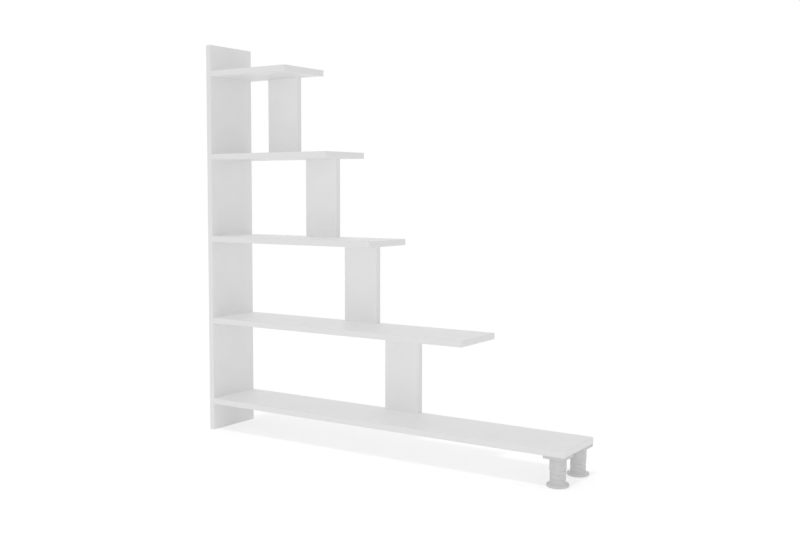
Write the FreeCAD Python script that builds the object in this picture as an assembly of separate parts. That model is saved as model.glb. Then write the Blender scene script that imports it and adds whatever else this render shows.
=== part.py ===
"""Staircase bookshelf: a tall side panel carries five shelves that grow towards the floor.

X runs along the shelves, away from the side panel. Y runs from the front to the wall, Z up.
The origin lies on the floor, below the middle of the object. All sizes are in millimetres.
"""
import FreeCAD, Part
import math
import os

# Boards of faced chipboard
board = 18.0                        # thickness of every board
depth = 190.0                       # depth of the shelves and the side panel
edging = 1.0                        # thickness of the plastic edging on the free edges
edging_round = 0.6                  # rounding along the edging's outer edges
bottom_shelf_length = 1200.0
second_shelf_length = 900.0
third_shelf_length = 600.0
fourth_shelf_length = 450.0
top_shelf_length = 297.0
foot_height = 83.0                  # floor to the underside of the bottom shelf
shelf_gap = 240.0                   # clear height between two shelves
panel_overhang = 80.0               # side panel above the top shelf

# Back boards between the shelves, and how far their middles stand from the side panel
back_board_width = 120.0
first_back_board_reach = 600.0
second_back_board_reach = 450.0
third_back_board_reach = 300.0
fourth_back_board_reach = 148.5

# Fits of what is driven into the boards
blind_floor = 7.0                   # wood left behind a blind hole in a board's face
hole_fit = 0.05                     # radial room of a dowel or screw in its hole
hole_slack = 0.5                    # spare depth at the end of a hole

# Screws through the side panel into the shelf ends, and their cover caps
panel_screw_inset = 40.0            # from the front and rear edges
panel_screw_radius = 3.5
panel_screw_core = 2.5
panel_screw_head = 5.0              # radius of the countersunk head
panel_screw_head_height = 3.0
panel_screw_grip = 32.0             # length of thread in the shelf
panel_screw_pitch = 3.2
key_width = 4.0                     # across the flats of the six-sided recess
key_depth = 3.0
cap_radius = 6.5
cap_dome = 1.4
cap_rim = 0.4
cap_bevel = 1.3
cap_stem_radius = 1.8
cap_stem = 2.4

# Dowels
dowel_radius = 4.0
dowel_grip = 19.0                   # depth in a board's end
dowel_chamfer = 1.0
back_dowel_inset = 20.0             # from the sides of a back board

# Cam locks in the back boards and their bolts in the shelves
cam_radius = 7.5
cam_offset = 34.0                   # from a back board's end to the cam's axis
cam_reach = 4.5                     # cam past the bolt's axis
cam_recess_width = 1.4
cam_recess_length = 8.0
cam_recess_depth = 2.0
bolt_radius = 3.5
bolt_core = 2.6
bolt_pitch = 2.2
bolt_collar_radius = 3.9
bolt_collar = 1.5
bolt_shank = 2.5
bolt_head_radius = 3.4
bolt_head = 3.5
bolt_head_past = 0.5                # head past the cam's axis
bolt_channel_room = 0.1             # radial room round the bolt's collar
cam_pocket_room = 0.4               # room round the bolt's head inside the cam

# Screw feet under the free end of the bottom shelf
plate_width = 60.0
plate = 7.5                         # thickness of the plate under the shelf
plate_corner = 3.0
plate_round = 1.0
collar_length = 31.5                # below the plate
collar_radius = 22.0
collar_wall = 0.75
collar_fillet = 1.5
collar_chamfer = 0.5
socket_top = 2.0                    # wall that closes the socket's upper end
thread_lead = 13.0
thread_left_hand = True             # the ridge climbs clockwise, seen from above
thread_depth = 1.6
thread_crest = 8.8                  # width of the ridge at its crest
thread_flank = 1.4                  # how far one flank leans over the thread's depth
thread_room = 0.25                  # room between the two threads
thread_root_sink = 0.5              # ridge set into the column or the wall that carries it
thread_datum = 11.4                 # height of the ridge's middle on the +X side
thread_engaged = 19.0               # column inside the socket
column_wall = 3.2
column_chamfer = 1.0
flare_radius = 7.8                  # hollow sweep from the column to the rim
rim_round = 2.8
rim_height = 7.0
web = 4.0                           # floor inside the base
pad_proud = 1.0                     # pad below the rim
pad_recess = 3.0                    # depth of the pad's seat in the base
pad_radius = 23.8
pad_edge = 0.8
pad_room = 0.4                      # radial room round the pad
pad_stem_radius = 7.0
pad_stem_room = 0.05
pad_catch = 1.5                     # how far the stem's catch stands out
pad_catch_height = 2.4
swivel_play = 0.1                   # axial play of the pad in the base

# Wood screws of the foot plates
plate_screw_inset = 7.5             # from the plate's sides
plate_screw_radius = 2.0
plate_screw_core = 1.3
plate_screw_head = 4.0
plate_screw_head_height = 2.2
plate_screw_pitch = 1.8
slot_width = 1.0                    # cross recess in the head
slot_length = 4.4
slot_depth = 1.4

# Places worked out from the sizes above
shelves = {
    "bottom_shelf": bottom_shelf_length,
    "second_shelf": second_shelf_length,
    "third_shelf": third_shelf_length,
    "fourth_shelf": fourth_shelf_length,
    "top_shelf": top_shelf_length,
}
back_boards = {
    "first_back_board": first_back_board_reach,
    "second_back_board": second_back_board_reach,
    "third_back_board": third_back_board_reach,
    "fourth_back_board": fourth_back_board_reach,
}
overall_length = cap_dome + board + max(shelves.values())
face = cap_dome + board - overall_length / 2       # inner face of the side panel
outer_face = face - board
front = -depth / 2
rear = depth / 2
storey = shelf_gap + board
undersides = [foot_height + storey * level for level in range(len(shelves))]
panel_height = undersides[-1] + board + panel_overhang
face_hole = board - blind_floor                    # depth of a blind hole in a board's face
back_board_middle = rear - board / 2

same_place = 0.01                                  # two places nearer than this are one
X = FreeCAD.Vector(1, 0, 0)
Y = FreeCAD.Vector(0, 1, 0)
Z = FreeCAD.Vector(0, 0, 1)


def point(x, y, z):
    return FreeCAD.Vector(x, y, z)


def block(low, high):
    """Box between two corners."""
    return Part.makeBox(high[0] - low[0], high[1] - low[1], high[2] - low[2], point(*low))


def placed(shape, origin, direction):
    """Copy of a shape made along Z, moved to an origin and turned to a direction."""
    copy = shape.copy()
    copy.Placement = FreeCAD.Placement(point(*origin), FreeCAD.Rotation(Z, direction))
    return copy


def quarter(centre, radius, start, end):
    """Arc step of an outline: the point halfway round and the end point, angles in degrees."""
    steps = []
    for angle in ((start + end) / 2, end):
        turn = math.radians(angle)
        steps.append((centre[0] + radius * math.cos(turn), centre[1] + radius * math.sin(turn)))
    return tuple(steps)


def turned(start, *steps):
    """Solid turned about Z. A step is a (radius, height) point or an arc's (through, end) pair."""
    edges = []
    here = start
    for step in steps + (start,):
        if isinstance(step[0], tuple):
            through, end = step
            ends = [point(radius, 0, height) for radius, height in (here, through, end)]
            edges.append(Part.Arc(*ends).toShape())
            here = end
        else:
            edges.append(Part.makeLine(point(here[0], 0, here[1]), point(step[0], 0, step[1])))
            here = step
    return Part.Face(Part.Wire(edges)).revolve(point(0, 0, 0), Z, 360)


def ridges(core, crest, start, end, pitch):
    """Outline of a fine wood thread from its plain shank to its tip."""
    count = int((end - start) / pitch)
    steps = []
    for turn in range(count):
        steps.append((core, start + (turn + 0.5) * pitch))
        steps.append((crest, start + (turn + 1) * pitch))
    return steps


def countersunk_screw(head, head_height, radius, core, plain, length, pitch):
    """Screw along Z, with the flat of its head at the origin."""
    thread = ridges(core, radius, plain, length - core, pitch)
    return turned((0, 0), (head, 0), (radius, head_height), (radius, plain), *thread,
                  (core, length - core), (core / 2, length), (0, length))


def countersunk_hole(head, head_height, radius, length):
    """What is cut away for such a screw."""
    wide = radius + hole_fit
    return turned((0, 0), (head + hole_fit, 0), (wide, head_height + hole_fit),
                  (wide, length + hole_slack), (0, length + hole_slack))


def six_sided(width, height):
    """Six-sided prism along Z, given its width across the flats."""
    reach = width / math.sqrt(3)
    corners = [point(reach * math.cos(math.radians(60 * side)),
                     reach * math.sin(math.radians(60 * side)), 0) for side in range(7)]
    return Part.Face(Part.makePolygon(corners)).extrude(Z * height)


def cross_recess(width, length, sink):
    """Cross cut into a face at the origin, downwards along Z."""
    long_way = block((-length / 2, -width / 2, 0), (length / 2, width / 2, sink))
    return long_way.fuse(block((-width / 2, -length / 2, 0), (width / 2, length / 2, sink)))


def edging_strip(low, high, run, outer):
    """Strip of edging along an axis, rounded along both long edges of its outer face.

    run is the axis, 0, 1 or 2 for X, Y or Z, and outer the outer face as (axis, value).
    """
    side, value = outer
    strip = block(low, high)
    edges = [edge for edge in strip.Edges
             if abs(edge.CenterOfMass[side] - value) < same_place
             and abs(edge.Length - (high[run] - low[run])) < same_place]
    return strip.makeFillet(edging_round, edges)


def front_and_rear_strips(low, high, run):
    """The long strips on a board's front and rear edges, between its low and high corners."""
    return [edging_strip((low[0], front, low[2]), (high[0], front + edging, high[2]), run, (1, front)),
            edging_strip((low[0], rear - edging, low[2]), (high[0], rear, high[2]), run, (1, rear))]


def ridge(inner, outer, inner_width, outer_width, start, turns):
    """Thread ridge wound about Z, from a height on the +X side."""
    corners = [point(inner, 0, -inner_width / 2), point(outer, 0, -outer_width / 2),
               point(outer, 0, outer_width / 2), point(inner, 0, inner_width / 2)]
    section = Part.makePolygon(corners + corners[:1])
    cone_angle = 0
    helix = Part.makeHelix(thread_lead, thread_lead * turns, (inner + outer) / 2, cone_angle,
                           thread_left_hand)
    wound = Part.Wire(helix).makePipeShell([section], True, True)
    wound.translate(Z * start)
    return wound


def slice_between(shape, low, high):
    """The part of a shape about the Z axis that lies between two heights."""
    return shape.common(Part.makeCylinder(plate_width, high - low, point(0, 0, low)))


# Holes and fasteners in the joints between the boards
cuts = {name: [] for name in ["side_panel", *shelves, *back_boards]}
panel_screws, screw_caps, shelf_dowels = [], [], []
back_board_dowels, cam_locks, cam_bolts = [], [], []


def dowel():
    """Dowel along Z whose joint lies at the origin: the long end is below it."""
    end = dowel_radius - dowel_chamfer
    return turned((0, -dowel_grip), (end, -dowel_grip), (dowel_radius, dowel_chamfer - dowel_grip),
                  (dowel_radius, face_hole - dowel_chamfer), (end, face_hole), (0, face_hole))


def dowel_hole():
    low = -dowel_grip - hole_slack
    return Part.makeCylinder(dowel_radius + hole_fit, face_hole + hole_slack - low, point(0, 0, low))


def join_shelf_to_panel(shelf, underside):
    """Two screws and a dowel through the side panel's face into a shelf's end."""
    middle = underside + board / 2
    length = board + panel_screw_grip
    screw = countersunk_screw(panel_screw_head, panel_screw_head_height, panel_screw_radius,
                              panel_screw_core, board, length, panel_screw_pitch)
    screw = screw.cut(six_sided(key_width, key_depth))
    hole = countersunk_hole(panel_screw_head, panel_screw_head_height, panel_screw_radius, length)
    cap = turned((0, -cap_dome), (cap_radius - cap_bevel, -cap_dome), (cap_radius, -cap_rim),
                 (cap_radius, 0), (cap_stem_radius, 0), (cap_stem_radius, cap_stem), (0, cap_stem))
    for y in (front + panel_screw_inset, rear - panel_screw_inset):
        spot = (outer_face, y, middle)
        panel_screws.append(placed(screw, spot, X))
        screw_caps.append(placed(cap, spot, X))
        cuts["side_panel"].append(placed(hole, spot, X))
        cuts[shelf].append(placed(hole, spot, X))
    spot = (face, 0, middle)
    shelf_dowels.append(placed(dowel(), spot, -X))
    cuts["side_panel"].append(placed(dowel_hole(), spot, -X))
    cuts[shelf].append(placed(dowel_hole(), spot, -X))


def cam_bolt():
    """Bolt along Z: its thread is above the origin, its head hangs in the cam below."""
    head_low = -cam_offset - bolt_head_past
    head_high = head_low + bolt_head
    thread = ridges(bolt_core, bolt_radius, 0, face_hole - bolt_core, bolt_pitch)
    return turned((0, head_low), (bolt_head_radius, head_low), (bolt_head_radius, head_high),
                  (bolt_shank, head_high), (bolt_shank, -bolt_collar),
                  (bolt_collar_radius, -bolt_collar), (bolt_collar_radius, 0), (bolt_core, 0),
                  *thread, (bolt_core, face_hole - bolt_core), (bolt_core / 2, face_hole),
                  (0, face_hole))


def cam_lock():
    """Drum along Z from its outer face, with a mouth towards +X for the bolt."""
    axis = board / 2
    drum = Part.makeCylinder(cam_radius - hole_fit, axis + cam_reach)
    head = bolt_head_radius + cam_pocket_room
    pocket = block((-bolt_head_past - cam_pocket_room, -head, axis - head),
                   (bolt_head - bolt_head_past + cam_pocket_room, head, axis + head))
    neck = bolt_shank + cam_pocket_room
    mouth = block((0, -neck, axis - neck), (cam_radius, neck, axis + neck))
    recess = cross_recess(cam_recess_width, cam_recess_length, cam_recess_depth)
    return drum.cut(pocket.fuse(mouth)).cut(recess)


def join_back_board(name, x, shelf, joint, upwards):
    """A cam lock and two dowels between one end of a back board and a shelf's face."""
    direction = Z if upwards else -Z
    inwards = -1 if upwards else 1
    spot = (x, back_board_middle, joint)
    cam_bolts.append(placed(cam_bolt(), spot, direction))
    thread_hole = Part.makeCylinder(bolt_radius + hole_fit, face_hole + hole_slack)
    cuts[shelf].append(placed(thread_hole, spot, direction))
    channel = Part.makeCylinder(bolt_collar_radius + bolt_channel_room, cam_offset)
    cuts[name].append(placed(channel, spot, -direction))

    cam_spot = point(x, rear, joint + inwards * cam_offset)
    towards_bolt = FreeCAD.Rotation(direction, FreeCAD.Vector(), -Y, "ZXY")
    lock = cam_lock()
    lock.Placement = FreeCAD.Placement(cam_spot, towards_bolt)
    cam_locks.append(lock)
    bore = Part.makeCylinder(cam_radius, board / 2 + cam_reach)
    cuts[name].append(placed(bore, cam_spot, -Y))

    side = back_board_width / 2 - back_dowel_inset
    for dowel_x in (x - side, x + side):
        dowel_spot = (dowel_x, back_board_middle, joint)
        back_board_dowels.append(placed(dowel(), dowel_spot, direction))
        for piece in (name, shelf):
            cuts[piece].append(placed(dowel_hole(), dowel_spot, direction))


# Screw feet
bore_radius = collar_radius - collar_wall
crest_radius = bore_radius - thread_room
column_radius = crest_radius - thread_depth
base_radius = column_radius + flare_radius + rim_round
flare_low = pad_proud + rim_height
flare_top = flare_low + flare_radius
plate_low = foot_height - plate
collar_low = plate_low - collar_length
column_top = collar_low + thread_engaged
seat = pad_proud + pad_recess
hollow_radius = column_radius - column_wall
half_plate = plate_width / 2


def foot_socket():
    """Plate and collar in one moulding, with the inner thread in the collar's mouth."""
    slab = block((-half_plate, -half_plate, plate_low), (half_plate, half_plate, foot_height))
    corners = [edge for edge in slab.Edges if abs(edge.Length - plate) < same_place]
    slab = slab.makeFillet(plate_corner, corners)
    rims = [edge for edge in slab.Edges if abs(edge.CenterOfMass.z - plate_low) < same_place]
    slab = slab.makeFillet(plate_round, rims)
    fillet_low = plate_low - collar_fillet
    collar = turned((0, collar_low), (collar_radius - collar_chamfer, collar_low),
                    (collar_radius, collar_low + collar_chamfer), (collar_radius, fillet_low),
                    quarter((collar_radius + collar_fillet, fillet_low), collar_fillet, 180, 90),
                    (collar_radius + collar_fillet, plate_low + socket_top), (0, plate_low + socket_top))
    body = slab.fuse(collar)
    bore = Part.makeCylinder(bore_radius, foot_height - socket_top - collar_low, point(0, 0, collar_low))
    body = body.cut(bore)
    hole = countersunk_hole(plate_screw_head, plate_screw_head_height, plate_screw_radius, plate)
    body = body.cut(Part.makeCompound([placed(hole, spot, Z) for spot in plate_screw_spots()]))

    lean = thread_flank / thread_depth
    gap_at_crest = thread_lead - thread_crest
    inner = column_radius + thread_room
    outer = bore_radius + thread_root_sink
    axial_room = 2 * thread_room * math.hypot(1, lean)
    inner_width = gap_at_crest - 2 * lean * (crest_radius - inner) - axial_room
    outer_width = gap_at_crest + 2 * lean * (outer - crest_radius) - axial_room
    whole_turns = math.floor((collar_low - thread_datum) / thread_lead - 0.5)
    start = thread_datum + (whole_turns + 0.5) * thread_lead
    turns = math.ceil((column_top - start) / thread_lead) + 1
    wound = ridge(inner, outer, inner_width, outer_width, start, turns)
    return body.fuse(slice_between(wound, collar_low + collar_chamfer, column_top))


def levelling_foot():
    """Hollow column with its outer thread, flaring into a round base with a seat for the pad."""
    rim_middle = base_radius - rim_round
    shell = turned((rim_middle, pad_proud),
                   quarter((rim_middle, pad_proud + rim_round), rim_round, -90, 0),
                   (base_radius, flare_low - rim_round),
                   quarter((rim_middle, flare_low - rim_round), rim_round, 0, 90),
                   quarter((column_radius + flare_radius, flare_top), flare_radius, 270, 180),
                   (column_radius, column_top - column_chamfer),
                   (column_radius - column_chamfer, column_top), (0, column_top), (0, pad_proud))
    lean = thread_flank / thread_depth
    inner = column_radius - thread_root_sink
    inner_width = thread_crest + 2 * lean * (crest_radius - inner)
    start = thread_datum - thread_lead
    turns = math.ceil((column_top - start) / thread_lead) + 1
    wound = ridge(inner, crest_radius, inner_width, thread_crest, start, turns)
    shell = shell.fuse(slice_between(wound, flare_low, column_top - column_chamfer))
    hollow = turned((0, pad_proud), (pad_radius + pad_room, pad_proud), (pad_radius + pad_room, seat),
                    (pad_stem_radius + pad_stem_room, seat), (pad_stem_radius + pad_stem_room, seat + web),
                    (hollow_radius, seat + web), (hollow_radius, column_top), (0, column_top))
    return shell.cut(hollow)


def glide_pad():
    """Round glide pad whose stem is caught above the floor of the base."""
    top = seat - swivel_play
    catch_low = seat + web + swivel_play
    catch_high = catch_low + pad_catch_height
    return turned((0, 0), (pad_radius - pad_edge, 0),
                  quarter((pad_radius - pad_edge, pad_edge), pad_edge, -90, 0), (pad_radius, top),
                  (pad_stem_radius, top), (pad_stem_radius, catch_low),
                  (pad_stem_radius + pad_catch, catch_low),
                  (pad_stem_radius + pad_catch, catch_high - pad_catch),
                  (pad_stem_radius, catch_high), (0, catch_high))


def plate_screw_spots():
    """Screw places on a foot's plate, about the foot's own axis."""
    reach = half_plate - plate_screw_inset
    return [(x, y, plate_low) for x in (-reach, reach) for y in (-reach, reach)]


def plate_screw():
    length = plate + face_hole
    screw = countersunk_screw(plate_screw_head, plate_screw_head_height, plate_screw_radius,
                              plate_screw_core, plate, length, plate_screw_pitch)
    return screw.cut(cross_recess(slot_width, slot_length, slot_depth))


# Boards
def board_solid(name, low, high):
    """A board's core, cut for everything that is driven into it."""
    return block(low, high).cut(Part.makeCompound(cuts[name]))


parts = {}
for (shelf, length), underside in zip(shelves.items(), undersides):
    join_shelf_to_panel(shelf, underside)

shelf_names = list(shelves)
for level, (name, reach) in enumerate(back_boards.items()):
    floor = undersides[level] + board
    ceiling = undersides[level + 1]
    join_back_board(name, face + reach, shelf_names[level], floor, False)
    join_back_board(name, face + reach, shelf_names[level + 1], ceiling, True)

foot_centre = face + bottom_shelf_length - half_plate
foot_rows = {"front": front + half_plate, "rear": rear - half_plate}
foot_plate_screws = []
for row, y in foot_rows.items():
    centre = point(foot_centre, y, 0)
    parts[f"{row}_foot_socket"] = [foot_socket().translated(centre)]
    parts[f"{row}_levelling_foot"] = [levelling_foot().translated(centre)]
    parts[f"{row}_glide_pad"] = [glide_pad().translated(centre)]
    for spot in plate_screw_spots():
        foot_plate_screws.append(placed(plate_screw(), centre + point(*spot), Z))
        pilot = Part.makeCylinder(plate_screw_radius + hole_fit, face_hole + hole_slack)
        cuts["bottom_shelf"].append(placed(pilot, centre + point(spot[0], spot[1], foot_height), Z))

parts["side_panel"] = [board_solid("side_panel", (outer_face, front + edging, 0),
                                   (face, rear - edging, panel_height - edging))]
strips = front_and_rear_strips((outer_face, front, 0), (face, rear, panel_height), 2)
strips.append(edging_strip((outer_face, front + edging, panel_height - edging),
                           (face, rear - edging, panel_height), 1, (2, panel_height)))
parts["side_panel_edging"] = strips

for (shelf, length), low in zip(shelves.items(), undersides):
    end = face + length
    parts[shelf] = [board_solid(shelf, (face, front + edging, low),
                                (end - edging, rear - edging, low + board))]
    strips = front_and_rear_strips((face, front, low), (end, rear, low + board), 0)
    strips.append(edging_strip((end - edging, front + edging, low), (end, rear - edging, low + board),
                               1, (0, end)))
    parts[shelf + "_edging"] = strips

for level, (name, reach) in enumerate(back_boards.items()):
    low = undersides[level] + board
    high = undersides[level + 1]
    left = face + reach - back_board_width / 2
    right = left + back_board_width
    parts[name] = [board_solid(name, (left + edging, rear - board, low), (right - edging, rear, high))]
    parts[name + "_edging"] = [
        edging_strip((left, rear - board, low), (left + edging, rear, high), 2, (0, left)),
        edging_strip((right - edging, rear - board, low), (right, rear, high), 2, (0, right)),
    ]

parts["panel_screws"] = panel_screws
parts["screw_caps"] = screw_caps
parts["shelf_dowels"] = shelf_dowels
parts["back_board_dowels"] = back_board_dowels
parts["cam_locks"] = cam_locks
parts["cam_bolts"] = cam_bolts
parts["foot_plate_screws"] = foot_plate_screws

os.makedirs("parts", exist_ok=True)
for name, solids in parts.items():
    shape = solids[0] if len(solids) == 1 else Part.makeCompound(solids)
    shape.exportStep(f"parts/{name}.step")
    print(name, len(shape.Solids), round(shape.Volume), shape.isValid())
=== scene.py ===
"""Staircase bookshelf, dressed for a studio picture.

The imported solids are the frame. The boards, edging and hidden fasteners keep their solids and get
real finishes. The screw caps, cam locks and the three pieces of each screw foot are modelled here.
"""
import math

import bpy
from bpy.props import FloatProperty, FloatVectorProperty, IntProperty, PointerProperty
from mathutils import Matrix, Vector


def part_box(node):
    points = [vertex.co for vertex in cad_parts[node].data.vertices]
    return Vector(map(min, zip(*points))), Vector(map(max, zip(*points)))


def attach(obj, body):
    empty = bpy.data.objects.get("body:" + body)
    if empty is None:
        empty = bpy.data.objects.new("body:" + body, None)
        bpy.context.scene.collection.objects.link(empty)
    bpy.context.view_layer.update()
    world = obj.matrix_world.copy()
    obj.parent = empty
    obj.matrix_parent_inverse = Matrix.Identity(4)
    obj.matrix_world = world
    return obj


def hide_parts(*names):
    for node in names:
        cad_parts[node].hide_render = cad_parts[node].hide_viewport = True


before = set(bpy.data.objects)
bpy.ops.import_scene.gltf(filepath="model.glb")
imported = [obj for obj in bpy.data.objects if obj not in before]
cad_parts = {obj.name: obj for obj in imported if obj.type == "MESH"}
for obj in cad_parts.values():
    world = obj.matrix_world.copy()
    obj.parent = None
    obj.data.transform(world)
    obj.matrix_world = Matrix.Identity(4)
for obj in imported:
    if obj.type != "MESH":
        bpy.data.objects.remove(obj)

bl_info = {
    "name": "Staircase Bookshelf",
    "version": (1, 0, 0),
    "blender": (4, 5, 0),
    "location": "View3D > Sidebar > Bookshelf",
    "description": "Finishes the boards and models the small parts of a staircase bookshelf",
    "category": "Object",
}

MM = 0.001
TINY = 0.001 * MM                    # vertices nearer than this are one
PAST = 1 * MM                        # how far a cutter reaches past the surface that it cuts
CORNER_STEPS = 6                     # faces across a softened corner of an outline
SMOOTH_ANGLE = math.radians(32)      # edges sharper than this stay sharp
X_AXIS, Y_AXIS, Z_AXIS = Vector((1, 0, 0)), Vector((0, 1, 0)), Vector((0, 0, 1))
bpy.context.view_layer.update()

SHELVES = ("bottom_shelf", "second_shelf", "third_shelf", "fourth_shelf", "top_shelf")
BACK_BOARDS = ("first_back_board", "second_back_board", "third_back_board", "fourth_back_board")
ROWS = ("front", "rear")


# Settings

def linear(code):
    """Linear colour with alpha from an sRGB hex code."""
    shades = [int(code[place:place + 2], 16) / 255 for place in (0, 2, 4)]
    lit = [s / 12.92 if s <= 0.04045 else ((s + 0.055) / 1.055) ** 2.4 for s in shades]
    return (*lit, 1.0)


def length(name, description, default):
    """A size that the user may change, in metres."""
    return FloatProperty(name=name, description=description, default=default, unit="LENGTH",
                         subtype="DISTANCE", precision=5)


def colour(name, description, code):
    """A colour that the user may change."""
    return FloatVectorProperty(name=name, description=description, default=linear(code), size=4,
                               subtype="COLOR", min=0, max=1)


def count(name, description, default):
    """A number of things that the user may change."""
    return IntProperty(name=name, description=description, default=default, min=1)


def strength(name, description, default):
    """A strength of light that the user may change."""
    return FloatProperty(name=name, description=description, default=default, min=0)


def angle(name, description, degrees):
    """An angle that the user may change."""
    return FloatProperty(name=name, description=description, default=math.radians(degrees),
                         subtype="ANGLE")


def direction(name, description, default):
    """A direction that the user may change."""
    return FloatVectorProperty(name=name, description=description, default=default,
                               subtype="DIRECTION")


class BoardFinish(bpy.types.PropertyGroup):
    """Finishes of the boards and their edging."""
    facing: colour("Facing", "White melamine on the boards' faces", "EEEEEE")
    facing_dark: colour("Facing shade", "Slightly deeper white in the facing's clouds", "ECECEC")
    chips: colour("Chips", "Pale chips of the raw chipboard core", "D9BE94")
    chips_dark: colour("Dark chips", "Dark chips and bark in the core", "9C7748")
    edging: colour("Edging", "White plastic edging", "E9E9E9")
    edging_dark: colour("Edging shade", "Faint draw lines along the edging", "E7E7E7")
    pearl: length("Pearl grain", "Width of the grain pressed into the facing", 1.6 * MM)
    mottle: length("Mottle", "Width of the faint clouds in the facing", 70 * MM)
    chip_size: length("Chip size", "Width of a wood chip in the core", 2.2 * MM)
    draw_lines: length("Draw lines", "Spacing of the lines along the edging", 1.1 * MM)


class FastenerFinish(bpy.types.PropertyGroup):
    """Finishes of the hidden screws, bolts and dowels."""
    zinc: colour("Zinc plating", "Bright zinc plating on steel", "C8CBCE")
    zinc_dark: colour("Zinc shade", "Duller patches of the plating", "AEB2B6")
    beech: colour("Beech", "Pale early wood of a beech dowel", "D8B88C")
    beech_dark: colour("Beech flecks", "Flecks and late wood of a beech dowel", "B98F5E")
    beech_grain: length("Beech grain", "Width of the grain across a dowel", 0.9 * MM)


class CapSizes(bpy.types.PropertyGroup):
    """Push-in caps over the panel screws."""
    inset: length("Inset", "From the panel's front and rear edges to a cap's middle", 40 * MM)
    radius: length("Radius", "Radius of a cap", 6.5 * MM)
    dome: length("Dome", "Height of a cap above the panel", 1.4 * MM)
    stem_radius: length("Stem radius", "Radius of the stem in the screw's recess", 1.8 * MM)
    stem: length("Stem", "Length of the stem", 2.4 * MM)
    faces: count("Faces", "Faces round a cap", 48)
    plastic: colour("Plastic", "White plastic of the caps", "E6E6E6")
    plastic_dark: colour("Plastic shade", "Faint flow marks in the plastic", "E2E2E2")


class CamSizes(bpy.types.PropertyGroup):
    """Cam locks in the rear faces of the back boards."""
    offset: length("Offset", "From a back board's end to a cam's axis", 34 * MM)
    radius: length("Radius", "Radius of a cam's drum", 7.45 * MM)
    depth: length("Depth", "Depth of the drum in the board", 13.5 * MM)
    edge: length("Edge", "Rounding of the drum's edges", 0.4 * MM)
    bolt_axis: length("Bolt axis", "From the drum's face to the bolt's axis", 9 * MM)
    pocket: length("Pocket", "Half width of the pocket for the bolt's head", 3.8 * MM)
    pocket_behind: length("Pocket behind", "Pocket on the far side of the drum's axis", 0.9 * MM)
    pocket_ahead: length("Pocket ahead", "Pocket on the bolt's side of the drum's axis", 3.4 * MM)
    neck: length("Neck", "Half width of the mouth for the bolt's shank", 2.9 * MM)
    cross_length: length("Cross length", "Length of the cross recess", 8 * MM)
    cross_width: length("Cross width", "Width of the cross recess", 1.4 * MM)
    cross_depth: length("Cross depth", "Depth of the cross recess", 2 * MM)
    pointer_width: length("Pointer width", "Width of the pointer at its foot", 1.8 * MM)
    pointer_depth: length("Pointer depth", "Depth of the pointer in the face", 0.5 * MM)
    pointer_foot: length("Pointer foot", "From the drum's axis to the pointer's foot", 4.9 * MM)
    pointer_tip: length("Pointer tip", "From the drum's axis to the pointer's tip", 6.5 * MM)
    faces: count("Faces", "Faces round a drum", 64)
    casting: colour("Casting", "Tumbled zinc casting", "A9ACAF")
    casting_dark: colour("Casting shade", "Darker skin in the casting's pits", "888B8F")


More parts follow.
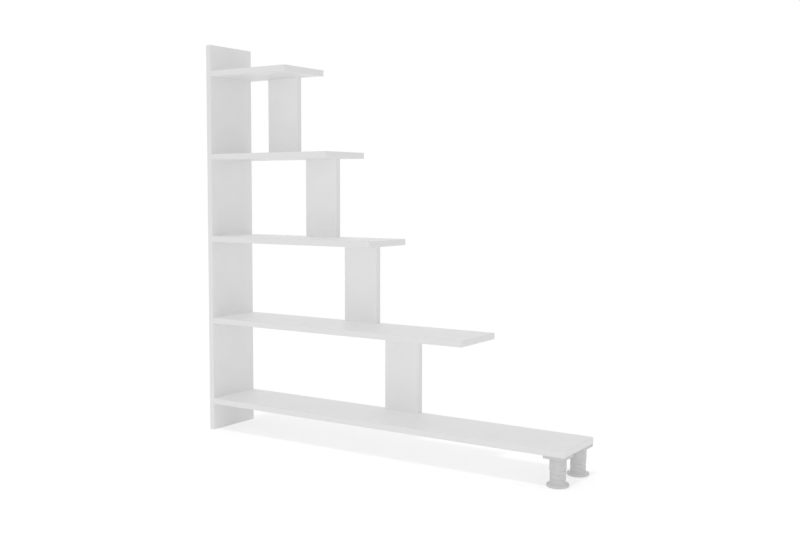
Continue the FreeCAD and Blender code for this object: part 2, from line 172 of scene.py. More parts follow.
class FootSizes(bpy.types.PropertyGroup):
    """Screw feet under the free end of the bottom shelf."""
    plate_width: length("Plate width", "Side of the square plate", 60 * MM)
    plate: length("Plate", "Thickness of the plate", 7.5 * MM)
    plate_corner: length("Plate corner", "Radius of the plate's corners", 3 * MM)
    plate_round: length("Plate rounding", "Rounding of the plate's lower edges", 1 * MM)
    collar_fillet: length("Collar fillet", "Fillet between the plate and the collar", 1.5 * MM)
    collar: length("Collar", "Length of the collar below the plate", 31.5 * MM)
    collar_radius: length("Collar radius", "Outer radius of the collar", 22 * MM)
    collar_round: length("Collar rounding", "Rounding of the collar's lower edge", 0.5 * MM)
    bore_radius: length("Bore radius", "Radius of the collar's bore", 21.25 * MM)
    socket_top: length("Socket top", "Wall that closes the collar's upper end", 2 * MM)
    screw_inset: length("Screw inset", "From the plate's sides to its screws", 7.5 * MM)
    screw_head: length("Screw head", "Radius of the countersink for a screw's head", 4.05 * MM)
    screw_hole: length("Screw hole", "Radius of a screw's hole", 2.05 * MM)
    column_radius: length("Column radius", "Radius of the column between its ridges", 19.4 * MM)
    column_wall: length("Column wall", "Wall of the hollow column", 3.2 * MM)
    engaged: length("Engaged", "Length of the column inside the collar", 19 * MM)
    lead: length("Lead", "Rise of the thread in one turn", 13 * MM)
    ridge: length("Ridge", "Height of the thread's ridge", 1.6 * MM)
    crest: length("Crest", "Width of the ridge at its crest", 8.8 * MM)
    flank: length("Flank", "How far a flank leans over the ridge's height", 1.4 * MM)
    room: length("Room", "Room between the two threads", 0.25 * MM)
    datum: length("Datum", "Height of the ridge's middle, away from the panel", 11.4 * MM)
    rim_radius: length("Rim radius", "Radius of the round base", 30 * MM)
    rim_height: length("Rim height", "Height of the base's rim", 7 * MM)
    rim_round: length("Rim rounding", "Rounding of the rim", 2.8 * MM)
    flare: length("Flare", "Hollow sweep from the column to the rim", 7.8 * MM)
    web: length("Web", "Floor inside the base", 4 * MM)
    web_round: length("Web rounding", "Rounding between that floor and the column's wall", 1 * MM)
    pad_radius: length("Pad radius", "Radius of the glide pad", 23.8 * MM)
    pad_room: length("Pad room", "Radial room round the pad", 0.4 * MM)
    pad_recess: length("Pad recess", "Depth of the pad's seat in the base", 3 * MM)
    pad_edge: length("Pad edge", "Rounding of the pad's lower edge", 0.8 * MM)
    pad_soft: length("Pad softness", "Rounding of the pad's upper edges", 0.3 * MM)
    pad_stem: length("Pad stem", "Radius of the pad's stem", 7 * MM)
    stem_room: length("Stem room", "Radial room round the pad's stem", 0.05 * MM)
    catch: length("Catch", "How far the stem's catch stands out", 1.5 * MM)
    play: length("Play", "Axial play of the pad in the base", 0.1 * MM)
    grooves: count("Grooves", "Round grooves in the pad's underside", 3)
    groove_pitch: length("Groove pitch", "Distance from groove to groove", 6 * MM)
    groove_width: length("Groove width", "Width of a groove", 1.4 * MM)
    groove_depth: length("Groove depth", "Depth of a groove", 0.6 * MM)
    groove_round: length("Groove rounding", "Rounding of a groove's edges", 0.15 * MM)
    faces: count("Faces", "Faces round a foot", 96)
    hole_faces: count("Hole faces", "Faces round a screw's hole", 32)
    plastic: colour("Plastic", "Light grey moulded plastic", "D1D1D1")
    plastic_dark: colour("Plastic shade", "Faint flow marks in the grey plastic", "CBCBCB")
    rubber: colour("Rubber", "Grey rubber of the glide pads", "868686")
    rubber_dark: colour("Rubber shade", "Dusty patches on the rubber", "787878")


class StageSettings(bpy.types.PropertyGroup):
    """Floor, light and camera."""
    floor_size: length("Floor size", "Side of the square floor", 12.0)
    floor: colour("Floor", "Pale floor that lights the object from below", "F2F2F2")
    floor_glow: strength("Floor glow", "Light that the pale floor itself gives off", 0.09)
    floor_shade: colour("Floor shade", "Grey in which the camera sees the shadow", "BCBCBC")
    floor_lift: strength("Floor lift", "White that the camera sees on top of that grey", 0.515)
    sky: strength("Sky", "Even white light all round", 0.695)
    fill: strength("Fill", "Light in front, which casts no shadow", 0.5)
    fill_way: direction("Fill way", "Towards the light in front", (0.21, -0.6, 0.775))
    shadow: strength("Shadow", "Light above, which draws the floor's shadow", 0.55)
    shadow_way: direction("Shadow way", "Towards the light above", (0, -0.2, 1))
    shadow_blur: angle("Shadow blur", "How wide the light above is", 5)
    camera_place: FloatVectorProperty(name="Camera place", description="Where the camera stands",
                                      default=(1.658377, -2.483536, 0.764607),
                                      subtype="TRANSLATION", unit="LENGTH")
    camera_turn: angle("Camera turn", "How far the camera looks to the left", 34.020)
    camera_dip: angle("Camera dip", "How far the camera looks down", 3.873)
    lens: FloatProperty(name="Lens", description="Focal length", default=46.2976, unit="CAMERA")
    film: FloatProperty(name="Film", description="Width of the film", default=36, unit="CAMERA")
    shift_x: FloatProperty(name="Shift X", description="Sideways shift of the picture",
                           default=0.025276)
    shift_y: FloatProperty(name="Shift Y", description="Upward shift of the picture",
                           default=-0.009495)


# Modelling

def activate(piece):
    """Make a piece the only selected object, in object mode."""
    if bpy.context.object and bpy.context.object.mode != "OBJECT":
        bpy.ops.object.mode_set(mode="OBJECT")
    bpy.ops.object.select_all(action="DESELECT")
    piece.select_set(True)
    bpy.context.view_layer.objects.active = piece


def pick(piece, test):
    """Go to edit mode with only those vertices selected whose place passes a test."""
    activate(piece)
    bpy.ops.object.mode_set(mode="EDIT")
    bpy.ops.mesh.select_mode(type="VERT")
    bpy.ops.mesh.select_all(action="DESELECT")
    bpy.ops.object.mode_set(mode="OBJECT")
    for vertex in piece.data.vertices:
        vertex.select = test(vertex.co)
    bpy.ops.object.mode_set(mode="EDIT")


def outline(name, corners):
    """A line drawn from corner to corner, each a place and how far that corner is softened."""
    bpy.ops.object.select_all(action="DESELECT")
    bpy.ops.mesh.primitive_plane_add(size=MM, location=corners[0][0])
    piece = bpy.context.object
    piece.name = name
    bpy.ops.object.transform_apply(location=True, rotation=True, scale=True)
    bpy.ops.object.mode_set(mode="EDIT")
    bpy.ops.mesh.merge(type="CENTER")
    for (here, _), (there, _) in zip(corners, corners[1:]):
        bpy.ops.mesh.extrude_region_move(TRANSFORM_OT_translate={"value": there - here})
    for softening in sorted({soft for _, soft in corners if soft}):
        places = [place for place, soft in corners if soft == softening]
        pick(piece, lambda co: any((co - place).length < TINY for place in places))
        bpy.ops.mesh.bevel(affect="VERTICES", offset=softening, segments=CORNER_STEPS, profile=0.5)
    bpy.ops.object.mode_set(mode="OBJECT")
    return piece


def close_up(piece):
    """Merge doubled vertices and point all faces outwards."""
    pick(piece, lambda co: True)
    bpy.ops.mesh.remove_doubles(threshold=TINY)
    bpy.ops.mesh.select_all(action="SELECT")
    bpy.ops.mesh.normals_make_consistent(inside=False)
    bpy.ops.object.mode_set(mode="OBJECT")


def turned(name, steps, faces, along=Z_AXIS, out=X_AXIS):
    """A piece turned about an axis through the origin, with a number of faces round it.

    A step of its outline is a radius, a height along the axis and how far that corner is softened.
    """
    corners = [(out * radius + along * height, soft) for radius, height, soft in steps]
    piece = outline(name, corners)
    pick(piece, lambda co: True)
    bpy.ops.mesh.spin(steps=faces, angle=math.tau, center=(0, 0, 0), axis=along)
    close_up(piece)
    return piece


def boxed(name, low, high):
    """A box between two corners."""
    low, high = Vector(low), Vector(high)
    bpy.ops.object.select_all(action="DESELECT")
    bpy.ops.mesh.primitive_cube_add(size=1, location=(low + high) / 2)
    piece = bpy.context.object
    piece.name = name
    piece.scale = high - low
    bpy.ops.object.transform_apply(location=True, rotation=True, scale=True)
    return piece


def soften_edges(piece, test, radius, steps):
    """Round the edges between those vertices whose place passes a test."""
    pick(piece, test)
    bpy.ops.mesh.bevel(affect="EDGES", offset=radius, segments=steps)
    bpy.ops.object.mode_set(mode="OBJECT")


def narrow(piece, test, shares):
    """Draw together those vertices whose place passes a test, by a share for each axis."""
    pick(piece, test)
    bpy.ops.transform.resize(value=shares)
    bpy.ops.object.mode_set(mode="OBJECT")


def combine(piece, other, operation):
    """Add another piece to a piece or cut it away, and drop the other piece."""
    activate(piece)
    bpy.ops.object.modifier_add(type="BOOLEAN")
    joint = piece.modifiers[-1]
    joint.operation = operation
    joint.solver = "EXACT"
    joint.object = other
    bpy.ops.object.modifier_apply(modifier=joint.name)
    bpy.data.objects.remove(other)
    if not piece.data.polygons:
        raise RuntimeError(f"nothing is left of {piece.name}")
    close_up(piece)


def copies(piece, spots):
    """Copies of a piece, each with its own mesh, in place of the piece itself.

    A spot is a copy's name, its place and how far it is turned about Y.
    """
    made = []
    for name, place, turn in spots:
        activate(piece)
        bpy.ops.object.duplicate(linked=False)
        copy = bpy.context.object
        copy.name = name
        copy.location = place
        copy.rotation_euler = (0, turn, 0)
        bpy.ops.object.transform_apply(location=True, rotation=True, scale=True)
        made.append(copy)
    bpy.data.objects.remove(piece)
    return made


def finish_piece(piece, material, body, node):
    """Smooth a piece, give it its finish and let it ride in a solid's place."""
    activate(piece)
    bpy.ops.object.shade_smooth_by_angle(angle=SMOOTH_ANGLE)
    piece.data.materials.clear()
    piece.data.materials.append(material)
    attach(piece, body)
    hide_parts(node)


# Finishes

def add_node(tree, kind, settings=None, **inputs):
    """Add a shader node with its settings, and fill or link its inputs by name."""
    node = tree.nodes.new("ShaderNode" + kind)
    for key, value in (settings or {}).items():
        setattr(node, key, value)
    for key, value in inputs.items():
        socket = node.inputs[key.replace("_", " ")]
        if isinstance(value, bpy.types.NodeSocket):
            tree.links.new(value, socket)
        else:
            socket.default_value = value
    return node


def new_material(name):
    """A material with an empty node tree; returns both."""
    material = bpy.data.materials.new(name)
    material.use_nodes = True
    material.node_tree.nodes.clear()
    return material, material.node_tree


def coat(tree, **surface):
    """End a material's tree with a shader that has a surface of the given inputs."""
    shader = add_node(tree, "BsdfPrincipled", **surface)
    add_node(tree, "OutputMaterial", Surface=shader.outputs["BSDF"])


def per_metre(size):
    """Texture scale whose pattern repeats about once in a size."""
    return 1 / size


def blend(tree, factor, low, high, start=0.3, end=0.7):
    """Colour that runs from a low to a high colour as a factor rises from start to end."""
    ramp = add_node(tree, "ValToRGB", Fac=factor)
    for stop, position, tint in zip(ramp.color_ramp.elements, (start, end), (low, high)):
        stop.position = position
        stop.color = tint
    return ramp.outputs["Color"]


def stretched(tree, spot, axes, share):
    """Places whose pattern is drawn out along some axes, where it changes by a share only."""
    scale = Vector([share if letter in axes else 1.0 for letter in "XYZ"])
    return add_node(tree, "Mapping", Vector=spot, Scale=scale).outputs["Vector"]


def melamine_board(axis, look):
    """White melamine-faced chipboard: a pressed paper face with a faint pearl grain and a satin
    sheen, the grain drawn coarser than the real one so that it shows. The core of glued chips
    shows only on raw ends and in the holes."""
    material, tree = new_material(f"white_melamine_chipboard_{axis.lower()}")
    place = add_node(tree, "TexCoord")
    spot = place.outputs["Object"]
    clouds = add_node(tree, "TexNoise", Vector=spot, Scale=per_metre(look.mottle), Detail=2.0)
    pearl = add_node(tree, "TexNoise", Vector=spot, Scale=per_metre(look.pearl), Detail=3.0)
    facing = blend(tree, clouds.outputs["Fac"], look.facing_dark, look.facing)
    chips = add_node(tree, "TexVoronoi", Vector=spot, Scale=per_metre(look.chip_size))
    shade = add_node(tree, "SeparateColor", Color=chips.outputs["Color"])
    core = blend(tree, shade.outputs["Red"], look.chips_dark, look.chips, start=0.0)
    sides = add_node(tree, "SeparateXYZ", Vector=place.outputs["Normal"])
    flat = add_node(tree, "Math", {"operation": "ABSOLUTE"}, Value=sides.outputs[axis])
    is_face = add_node(tree, "Math", {"operation": "GREATER_THAN"}, Value=flat.outputs["Value"])
    least_along_axis = 0.5
    is_face.inputs[1].default_value = least_along_axis
    paint = add_node(tree, "MixRGB", Fac=is_face.outputs["Value"], Color1=core, Color2=facing)
    height = add_node(tree, "MixRGB", Fac=is_face.outputs["Value"],
                      Color1=chips.outputs["Distance"], Color2=pearl.outputs["Fac"])
    gloss = add_node(tree, "MapRange", Value=pearl.outputs["Fac"], To_Min=0.42, To_Max=0.52)
    relief = add_node(tree, "Bump", Height=height.outputs["Color"], Strength=0.12,
                      Distance=0.1 * MM)
    coat(tree, Base_Color=paint.outputs["Color"], Roughness=gloss.outputs["Result"], IOR=1.5,
         Normal=relief.outputs["Normal"])
    return material


def edging_plastic(axis, look):
    """White ABS edging: extruded and scraped flush, so it has faint lines along its length and is
    a little smoother than the facing. The lines are drawn coarser than the real ones so that they
    show."""
    material, tree = new_material(f"white_abs_edging_{axis.lower()}")
    spot = add_node(tree, "TexCoord").outputs["Object"]
    along = stretched(tree, spot, "XYZ".replace(axis, ""), share=0.02)
    lines = add_node(tree, "TexNoise", Vector=along, Scale=per_metre(look.draw_lines), Detail=2.0)
    paint = blend(tree, lines.outputs["Fac"], look.edging_dark, look.edging)
    gloss = add_node(tree, "MapRange", Value=lines.outputs["Fac"], To_Min=0.36, To_Max=0.46)
    relief = add_node(tree, "Bump", Height=lines.outputs["Fac"], Strength=0.1, Distance=0.05 * MM)
    coat(tree, Base_Color=paint, Roughness=gloss.outputs["Result"], IOR=1.54,
         Normal=relief.outputs["Normal"])
    return material


def grained(name, low, high, patch, grit, roughness, relief, metallic=0.0):
    """A moulded, cast or plated finish: faint patches of two colours under a fine grain.

    The grit is drawn coarser than the real grain so that it shows.
    """
    material, tree = new_material(name)
    spot = add_node(tree, "TexCoord").outputs["Object"]
    patches = add_node(tree, "TexNoise", Vector=spot, Scale=per_metre(patch), Detail=3.0)
    grain = add_node(tree, "TexNoise", Vector=spot, Scale=per_metre(grit), Detail=2.0)
    paint = blend(tree, patches.outputs["Fac"], low, high)
    spread = 0.05
    gloss = add_node(tree, "MapRange", Value=grain.outputs["Fac"], To_Min=roughness - spread,
                     To_Max=roughness + spread)
    bump = add_node(tree, "Bump", Height=grain.outputs["Fac"], Strength=0.25, Distance=relief)
    coat(tree, Base_Color=paint, Roughness=gloss.outputs["Result"], IOR=1.5, Metallic=metallic,
         Normal=bump.outputs["Normal"])
    return material


def beech_wood(axis, look):
    """Planed beech dowel: pale pinkish wood with grain along the dowel and short dark flecks."""
    material, tree = new_material(f"planed_beech_{axis.lower()}")
    spot = add_node(tree, "TexCoord").outputs["Object"]
    along = stretched(tree, spot, axis, share=0.06)
    grain = add_node(tree, "TexNoise", Vector=along, Scale=per_metre(look.beech_grain), Detail=4.0)
    paint = blend(tree, grain.outputs["Fac"], look.beech_dark, look.beech, start=0.35, end=0.6)
    relief = add_node(tree, "Bump", Height=grain.outputs["Fac"], Strength=0.3, Distance=0.1 * MM)
    coat(tree, Base_Color=paint, Roughness=0.6, Normal=relief.outputs["Normal"])
    return material


def grey_plastic(foot):
    """Moulded polypropylene: light grey, fine spark-eroded grain, soft wide highlights."""
    name = "grey_polypropylene"
    return bpy.data.materials.get(name) or grained(
        name, foot.plastic_dark, foot.plastic, patch=12 * MM, grit=0.6 * MM, roughness=0.5,
        relief=0.03 * MM)


def dress(node, material):
    """Give a kept solid its finish in its own material slots."""
    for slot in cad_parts[node].material_slots:
        slot.material = material


# Boards and fasteners

class BOOKSHELF_OT_boards(bpy.types.Operator):
    """Finish the side panel, shelves and back boards, and their edging"""
    bl_idname = "bookshelf.boards"
    bl_label = "Boards and Edging"

    def execute(self, context):
        look = context.scene.bookshelf_boards
        for axis, boards in (("X", ("side_panel",)), ("Z", SHELVES), ("Y", BACK_BOARDS)):
            facing = melamine_board(axis, look)
            strip = edging_plastic(axis, look)
            for board in boards:
                dress(board, facing)
                dress(f"{board}_edging", strip)
        return {"FINISHED"}


class BOOKSHELF_OT_fasteners(bpy.types.Operator):
    """Finish the screws, bolts and dowels inside the boards"""
    bl_idname = "bookshelf.fasteners"
    bl_label = "Screws, Bolts and Dowels"

    def execute(self, context):
        look = context.scene.bookshelf_fasteners
        # Zinc-plated steel: bright, slightly cloudy metal with a fine drawn grain.
        zinc = grained("zinc_plated_steel", look.zinc_dark, look.zinc, patch=6 * MM, grit=0.4 * MM,
                       roughness=0.32, relief=0.02 * MM, metallic=1.0)
        for node in ("panel_screws", "foot_plate_screws", "cam_bolts"):
            dress(node, zinc)
        dress("shelf_dowels", beech_wood("X", look))
        dress("back_board_dowels", beech_wood("Z", look))
        return {"FINISHED"}


class BOOKSHELF_OT_screw_caps(bpy.types.Operator):
    """Model the domed caps over the panel screws"""
    bl_idname = "bookshelf.screw_caps"
    bl_label = "Screw Caps"

    # The dome's corners as shares of a cap's radius and dome, and how far each is softened.
    crown, crown_height, crown_soft = 0.5, 0.95, 0.2
    shoulder, shoulder_height, shoulder_soft = 0.86, 0.66, 0.12
    brim_height, brim_soft = 0.22, 0.15
    stem_soft = 0.25

    def execute(self, context):
        cap = context.scene.bookshelf_caps
        # Injection-moulded polyethylene: smooth, a little waxy, with a soft highlight.
        plastic = grained("white_polyethylene", cap.plastic_dark, cap.plastic, patch=5 * MM,
                          grit=0.3 * MM, roughness=0.3, relief=0.01 * MM)
        steps = (
            (0, -cap.dome, 0),
            (cap.radius * self.crown, -cap.dome * self.crown_height, cap.radius * self.crown_soft),
            (cap.radius * self.shoulder, -cap.dome * self.shoulder_height,
             cap.radius * self.shoulder_soft),
            (cap.radius, -cap.dome * self.brim_height, cap.dome * self.brim_soft),
            (cap.radius, 0, 0),
            (cap.stem_radius, 0, 0),
            (cap.stem_radius, cap.stem, cap.stem_radius * self.stem_soft),
            (0, cap.stem, 0),
        )
        model = turned("screw_cap", steps, cap.faces, along=X_AXIS, out=Z_AXIS)
        low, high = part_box("side_panel_edging")
        spots = []
        for shelf in SHELVES:
            under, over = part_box(shelf)
            for row, y in zip(ROWS, (low[1] + cap.inset, high[1] - cap.inset)):
                place = (low[0], y, (under[2] + over[2]) / 2)
                spots.append((f"{shelf}_{row}_screw_cap", place, 0))
        for piece in copies(model, spots):
            finish_piece(piece, plastic, "bookshelf", "screw_caps")
        return {"FINISHED"}


class BOOKSHELF_OT_cam_locks(bpy.types.Operator):
    """Model the cam locks let into the back boards' rear faces"""
    bl_idname = "bookshelf.cam_locks"
    bl_label = "Cam Locks"

    cross_taper = 0.8                # width of the cross recess at its floor, as a share
    tip_taper = 0.1                  # width of the pointer at its tip, as a share

    def execute(self, context):
        cam = context.scene.bookshelf_cams
        # Tumbled zinc die casting: dull grey metal with a fine pitted skin.
        casting = grained("zinc_die_casting", cam.casting_dark, cam.casting, patch=3 * MM,
                          grit=0.5 * MM, roughness=0.48, relief=0.04 * MM, metallic=1.0)
        spots = []
        for board in BACK_BOARDS:
            low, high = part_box(board)
            x = (low[0] + high[0]) / 2
            spots.append((f"{board}_upper_cam", (x, high[1], high[2] - cam.offset), 0))
            spots.append((f"{board}_lower_cam", (x, high[1], low[2] + cam.offset), math.pi))
        for piece in copies(self.drum(cam), spots):
            finish_piece(piece, casting, "bookshelf", "cam_locks")
        return {"FINISHED"}

    def drum(self, cam):
        """A cam's drum behind its outer face, with its bolt's mouth upwards."""
        steps = ((0, 0, 0), (cam.radius, 0, cam.edge), (cam.radius, cam.depth, cam.edge),
                 (0, cam.depth, 0))
        model = turned("cam_lock", steps, cam.faces, along=-Y_AXIS, out=X_AXIS)
        middle = -cam.bolt_axis
        head, neck = cam.pocket, cam.neck
        pocket = boxed("cam_pocket", (-head, middle - head, -cam.pocket_behind),
                       (head, middle + head, cam.pocket_ahead))
        combine(model, pocket, "DIFFERENCE")
        mouth = boxed("cam_mouth", (-neck, middle - neck, 0),
                      (neck, middle + neck, cam.radius + PAST))
        combine(model, mouth, "DIFFERENCE")
        reach, half = cam.cross_length / 2, cam.cross_width / 2
        for name, across, up in (("cam_slot", reach, half), ("cam_cross_slot", half, reach)):
            slot = boxed(name, (-across, -cam.cross_depth, -up), (across, PAST, up))
            narrow(slot, lambda co: co.y < 0, (self.cross_taper, 1, self.cross_taper))
            combine(model, slot, "DIFFERENCE")
        side = cam.pointer_width / 2
        pointer = boxed("cam_pointer", (-side, -cam.pointer_depth, cam.pointer_foot),
                        (side, PAST, cam.pointer_tip))
        half_way = (cam.pointer_foot + cam.pointer_tip) / 2
        narrow(pointer, lambda co: co.z > half_way, (self.tip_taper, 1, 1))
        combine(model, pointer, "DIFFERENCE")
        return model


# Screw feet

def at_each_foot(model, word):
    """A copy of a piece on each foot's axis, with the foot's row, in place of the piece itself."""
    spots = []
    for row in ROWS:
        low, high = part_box(f"{row}_glide_pad")
        place = ((low[0] + high[0]) / 2, (low[1] + high[1]) / 2, 0)
        spots.append((f"{row}_{word}", place, 0))
    return zip(ROWS, copies(model, spots))


def threaded_rod(name, foot, root, crest_radius, crest, low, high):
    """A rod with the feet's left-hand thread, cut off square at two heights."""
    softened_share = 0.25
    soft = foot.ridge * softened_share
    half = crest / 2
    base = half + foot.flank
    steps = ((root, -foot.lead / 2, 0), (root, -base, soft), (crest_radius, -half, soft),
             (crest_radius, half, soft), (root, base, soft), (root, foot.lead / 2, 0))
    first_turn = math.floor((low - foot.datum) / foot.lead - 1)
    start = foot.datum + first_turn * foot.lead
    corners = [(X_AXIS * radius + Z_AXIS * (start + height), softening)
               for radius, height, softening in steps]
    piece = outline(name, corners)
    activate(piece)
    bpy.ops.object.modifier_add(type="SCREW")
    wind = piece.modifiers[-1]
    wind.axis = "Z"
    wind.angle = -math.tau
    wind.screw_offset = foot.lead
    wind.iterations = math.ceil((high - start) / foot.lead + 1)
    wind.steps = wind.render_steps = foot.faces
    bpy.ops.object.modifier_apply(modifier=wind.name)
    close_up(piece)
    for height, side in ((low, -1), (high, 1)):
        pick(piece, lambda co: True)
        bpy.ops.mesh.bisect(plane_co=(0, 0, height), plane_no=(0, 0, side), use_fill=True,
                            clear_outer=True, threshold=TINY)
    close_up(piece)
    return piece


class BOOKSHELF_OT_foot_sockets(bpy.types.Operator):
    """Model the plates and threaded collars under the bottom shelf"""
    bl_idname = "bookshelf.foot_sockets"
    bl_label = "Foot Sockets"

    corner_steps, edge_steps = 8, 4  # faces across the plate's corners and its lower edges
    collar_sink = 0.02 * MM          # how far the collar's fillet ends inside the plate
    flange_share = 1.1               # reach of the collar's flange, as a share of the fillet
    bore_lap = 0.5 * MM              # how far the plain bore reaches down into the thread

    def execute(self, context):
        foot = context.scene.bookshelf_feet
        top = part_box("front_foot_socket")[1][2]
        low = top - foot.plate
        mouth = low - foot.collar
        model = self.plate(foot, low, top)
        combine(model, self.collar(foot, mouth, low, top), "UNION")
        self.cut_thread(foot, model, mouth, top)
        self.cut_screw_holes(foot, model, low, top)
        for row, piece in at_each_foot(model, "socket"):
            finish_piece(piece, grey_plastic(foot), "bookshelf",
                         f"{row}_foot_socket")
        return {"FINISHED"}

    def plate(self, foot, low, top):
        """The square plate with its round corners and soft lower edges."""
        half = foot.plate_width / 2
        model = boxed("foot_socket", (-half, -half, low), (half, half, top))
        inside = half - TINY
        for right, rear in ((1, 1), (1, -1), (-1, 1), (-1, -1)):
            soften_edges(model, lambda co: co.x * right > inside and co.y * rear > inside,
                         foot.plate_corner, self.corner_steps)
        soften_edges(model, lambda co: co.z < low + TINY, foot.plate_round, self.edge_steps)
        return model

    def collar(self, foot, mouth, low, top):
        """The collar, still solid, with a flange that reaches into the plate."""
        sunk = low + self.collar_sink
        flange = foot.collar_radius + foot.collar_fillet * self.flange_share
        inside = top - foot.socket_top / 2
        steps = ((0, mouth, 0), (foot.collar_radius, mouth, foot.collar_round),
                 (foot.collar_radius, sunk, foot.collar_fillet), (flange, sunk, 0),
                 (flange, inside, 0), (0, inside, 0))
        return turned("foot_collar", steps, foot.faces)

    def cut_thread(self, foot, model, mouth, top):
        """The thread in the collar's mouth and the plain bore above it."""
        column_top = mouth + foot.engaged
        lean = foot.flank / foot.ridge
        crest = foot.crest + 2 * foot.room * (math.hypot(1, lean) - lean)
        tap = threaded_rod("foot_tap", foot, foot.column_radius + foot.room, foot.bore_radius,
                           crest, mouth - PAST, column_top)
        combine(model, tap, "DIFFERENCE")
        ceiling = top - foot.socket_top
        floor = column_top - self.bore_lap
        steps = ((0, floor, 0), (foot.bore_radius, floor, 0), (foot.bore_radius, ceiling, 0),
                 (0, ceiling, 0))
        combine(model, turned("foot_bore", steps, foot.faces), "DIFFERENCE")

    def cut_screw_holes(self, foot, model, low, top):
        """Countersunk holes near the plate's corners."""
        sink = foot.screw_head - foot.screw_hole
        steps = ((0, low - PAST, 0), (foot.screw_head, low - PAST, 0), (foot.screw_head, low, 0),
                 (foot.screw_hole, low + sink, 0), (foot.screw_hole, top + PAST, 0),
                 (0, top + PAST, 0))
        hole = turned("plate_hole", steps, foot.hole_faces)
        reach = foot.plate_width / 2 - foot.screw_inset
        spots = [("plate_hole", (x, y, 0), 0) for x in (-reach, reach) for y in (-reach, reach)]
        for cutter in copies(hole, spots):
            combine(model, cutter, "DIFFERENCE")


class BOOKSHELF_OT_levelling_feet(bpy.types.Operator):
    """Model the threaded columns with their flared bases"""
    bl_idname = "bookshelf.levelling_feet"
    bl_label = "Levelling Feet"

    core_sink = 0.05 * MM            # how far the base's core stays inside the column
    core_share = 1.2                 # height of that core, as a share of the flare
    column_rise = 0.5 * MM           # from the brim to the column's lower end, inside the core

    def execute(self, context):
        foot = context.scene.bookshelf_feet
        low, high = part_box("front_levelling_foot")
        bottom, top = low[2], high[2]
        brim = bottom + foot.rim_height
        core, core_top = foot.column_radius - self.core_sink, brim + foot.flare * self.core_share
        steps = ((0, bottom, 0), (foot.rim_radius, bottom, foot.rim_round),
                 (foot.rim_radius, brim, foot.rim_round), (core, brim, foot.flare),
                 (core, core_top, 0), (0, core_top, 0))
        model = turned("levelling_foot", steps, foot.faces)
        rod = threaded_rod("foot_column", foot, foot.column_radius,
                           foot.column_radius + foot.ridge, foot.crest,
                           brim + self.column_rise, top)
        combine(model, rod, "UNION")
        combine(model, self.cavity(foot, bottom, top), "DIFFERENCE")
        for row, piece in at_each_foot(model, "foot"):
            finish_piece(piece, grey_plastic(foot), f"{row}_leveller",
                         f"{row}_levelling_foot")
        return {"FINISHED"}

    def cavity(self, foot, bottom, top):
        """The pad's seat, the hole for its stem and the hollow of the column."""
        seat = bottom + foot.pad_recess
        web_top = seat + foot.web
        hollow = foot.column_radius - foot.column_wall
        wide = foot.pad_radius + foot.pad_room
        stem = foot.pad_stem + foot.stem_room
        steps = ((0, bottom - PAST, 0), (wide, bottom - PAST, 0), (wide, seat, 0), (stem, seat, 0),
                 (stem, web_top, 0), (hollow, web_top, foot.web_round), (hollow, top + PAST, 0),
                 (0, top + PAST, 0))
        return turned("foot_cavity", steps, foot.faces)


class BOOKSHELF_OT_glide_pads(bpy.types.Operator):
    """Model the swivelling pads that stay still on the floor"""
    bl_idname = "bookshelf.glide_pads"
    bl_label = "Glide Pads"

    def execute(self, context):
        foot = context.scene.bookshelf_feet
        # Moulded rubber: dull mid grey, with grooves for grip on the floor.
        rubber = grained("grey_moulded_rubber", foot.rubber_dark, foot.rubber, patch=9 * MM,
                         grit=0.7 * MM, roughness=0.8, relief=0.06 * MM)
        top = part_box("front_glide_pad")[1][2]
        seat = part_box("front_levelling_foot")[0][2] + foot.pad_recess
        face = seat - foot.play
        catch_low = seat + foot.web + foot.play
        steps = [(0, 0, 0)]
        for groove in range(foot.grooves):
            inner = foot.groove_pitch * (groove + 1)
            outer = inner + foot.groove_width
            steps += [(inner, 0, foot.groove_round), (inner, foot.groove_depth, foot.groove_round),
                      (outer, foot.groove_depth, foot.groove_round), (outer, 0, foot.groove_round)]
        stem, catch = foot.pad_stem, foot.pad_stem + foot.catch
        steps += [(foot.pad_radius, 0, foot.pad_edge), (foot.pad_radius, face, foot.pad_soft),
                  (stem, face, 0), (stem, catch_low, 0), (catch, catch_low, 0),
                  (catch, top - foot.catch, foot.pad_soft), (stem, top, foot.pad_soft),
                  (0, top, 0)]
        model = turned("glide_pad", steps, foot.faces)
        for row, piece in at_each_foot(model, "pad"):
            finish_piece(piece, rubber, f"{row}_glide", f"{row}_glide_pad")
        return {"FINISHED"}


# Stage

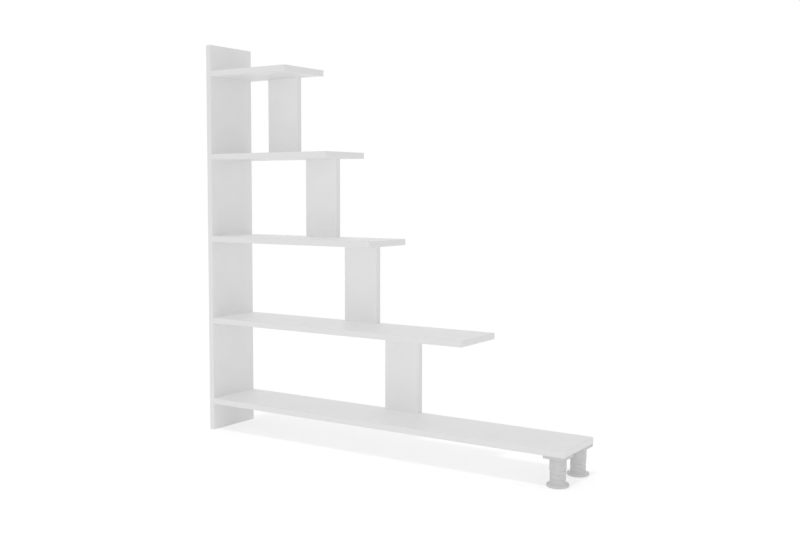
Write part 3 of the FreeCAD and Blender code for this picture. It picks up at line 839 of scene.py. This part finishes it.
class BOOKSHELF_OT_stage(bpy.types.Operator):
    """Set up the floor, the light and the camera"""
    bl_idname = "bookshelf.stage"
    bl_label = "Stage"

    def execute(self, context):
        scene = context.scene
        stage = scene.bookshelf_stage
        bpy.ops.object.select_all(action="DESELECT")
        bpy.ops.mesh.primitive_plane_add(size=stage.floor_size, location=(0, 0, 0))
        floor = context.object
        floor.name = "studio_floor"
        floor.data.materials.append(self.floor_paint(stage))
        self.light_sky(scene, stage)
        fill = self.distant_light(context, "fill_light", stage.fill, stage.fill_way)
        fill.data.use_shadow = False
        above = self.distant_light(context, "shadow_light", stage.shadow, stage.shadow_way)
        above.data.angle = stage.shadow_blur
        floor_alone = bpy.data.collections.new("lit_by_shadow_light")
        floor_alone.objects.link(floor)
        above.light_linking.receiver_collection = floor_alone
        self.set_camera(context, stage)
        scene.view_settings.view_transform = "Standard"
        return {"FINISHED"}

    def set_camera(self, context, stage):
        """The camera, level from side to side, with its picture shifted on the film."""
        rotation = (math.pi / 2 - stage.camera_dip, 0, stage.camera_turn)
        bpy.ops.object.camera_add(location=stage.camera_place, rotation=rotation)
        camera = context.object
        camera.data.lens = stage.lens
        camera.data.sensor_width = stage.film
        camera.data.shift_x = stage.shift_x
        camera.data.shift_y = stage.shift_y
        context.scene.camera = camera

    def distant_light(self, context, name, energy, way):
        """A light that shines the same everywhere, from one way."""
        bpy.ops.object.light_add(type="SUN", location=way,
                                 rotation=way.to_track_quat("Z", "Y").to_euler())
        light = context.object
        light.name = name
        light.data.energy = energy
        return light

    def lit_or_seen(self, tree, lit, seen):
        """One surface for light on its way, another for rays from the camera, a mirror or glass."""
        path = add_node(tree, "LightPath")
        by_eye = add_node(tree, "Math", {"operation": "MAXIMUM"},
                          Value=path.outputs["Is Camera Ray"])
        tree.links.new(path.outputs["Is Glossy Ray"], by_eye.inputs[1])
        either = add_node(tree, "Math", {"operation": "MAXIMUM"}, Value=by_eye.outputs["Value"])
        tree.links.new(path.outputs["Is Transmission Ray"], either.inputs[1])
        both = add_node(tree, "MixShader", Fac=either.outputs["Value"])
        tree.links.new(lit, both.inputs[1])
        tree.links.new(seen, both.inputs[2])
        return both.outputs["Shader"]

    def glowing_paint(self, tree, shade, glow):
        """Matt paint that also gives off white light."""
        paint = add_node(tree, "BsdfDiffuse", Color=shade)
        light = add_node(tree, "Emission", Strength=glow)
        both = add_node(tree, "AddShader")
        tree.links.new(paint.outputs["BSDF"], both.inputs[0])
        tree.links.new(light.outputs["Emission"], both.inputs[1])
        return both.outputs["Shader"]

    def floor_paint(self, stage):
        """Matt white paper: it lights the object from below, and the camera sees it as white with
        the object's shadow."""
        material, tree = new_material("matt_white_paper")
        lit = self.glowing_paint(tree, stage.floor, stage.floor_glow)
        seen = self.glowing_paint(tree, stage.floor_shade, stage.floor_lift)
        add_node(tree, "OutputMaterial", Surface=self.lit_or_seen(tree, lit, seen))
        return material

    def light_sky(self, scene, stage):
        """Even white light all round, seen as plain white."""
        scene.world = bpy.data.worlds.new("white_studio")
        scene.world.use_nodes = True
        tree = scene.world.node_tree
        tree.nodes.clear()
        white = (1, 1, 1, 1)
        light = add_node(tree, "Background", Color=white, Strength=stage.sky)
        backdrop = add_node(tree, "Background", Color=white, Strength=1.0)
        both = self.lit_or_seen(tree, light.outputs["Background"], backdrop.outputs["Background"])
        add_node(tree, "OutputWorld", Surface=both)


# Add-on

class BOOKSHELF_PT_sidebar(bpy.types.Panel):
    """Lists the bookshelf's pieces"""
    bl_label = "Staircase Bookshelf"
    bl_idname = "BOOKSHELF_PT_sidebar"
    bl_space_type = "VIEW_3D"
    bl_region_type = "UI"
    bl_category = "Bookshelf"

    def draw(self, context):
        for operator in OPERATORS:
            self.layout.operator(operator.bl_idname)


GROUPS = {
    "bookshelf_boards": BoardFinish,
    "bookshelf_fasteners": FastenerFinish,
    "bookshelf_caps": CapSizes,
    "bookshelf_cams": CamSizes,
    "bookshelf_feet": FootSizes,
    "bookshelf_stage": StageSettings,
}
OPERATORS = (BOOKSHELF_OT_boards, BOOKSHELF_OT_fasteners, BOOKSHELF_OT_screw_caps,
             BOOKSHELF_OT_cam_locks, BOOKSHELF_OT_foot_sockets, BOOKSHELF_OT_levelling_feet,
             BOOKSHELF_OT_glide_pads, BOOKSHELF_OT_stage)
CLASSES = (*GROUPS.values(), *OPERATORS, BOOKSHELF_PT_sidebar)


def register():
    """Make the classes and the scene's settings known."""
    for kind in CLASSES:
        bpy.utils.register_class(kind)
    for name, group in GROUPS.items():
        setattr(bpy.types.Scene, name, PointerProperty(type=group))


def unregister():
    """Take the settings and the classes away again."""
    for name in GROUPS:
        delattr(bpy.types.Scene, name)
    for kind in reversed(CLASSES):
        bpy.utils.unregister_class(kind)


def main():
    """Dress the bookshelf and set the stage."""
    register()
    bpy.ops.bookshelf.boards()
    bpy.ops.bookshelf.fasteners()
    bpy.ops.bookshelf.screw_caps()
    bpy.ops.bookshelf.cam_locks()
    bpy.ops.bookshelf.foot_sockets()
    bpy.ops.bookshelf.levelling_feet()
    bpy.ops.bookshelf.glide_pads()
    bpy.ops.bookshelf.stage()


if __name__ == "__main__":
    main()
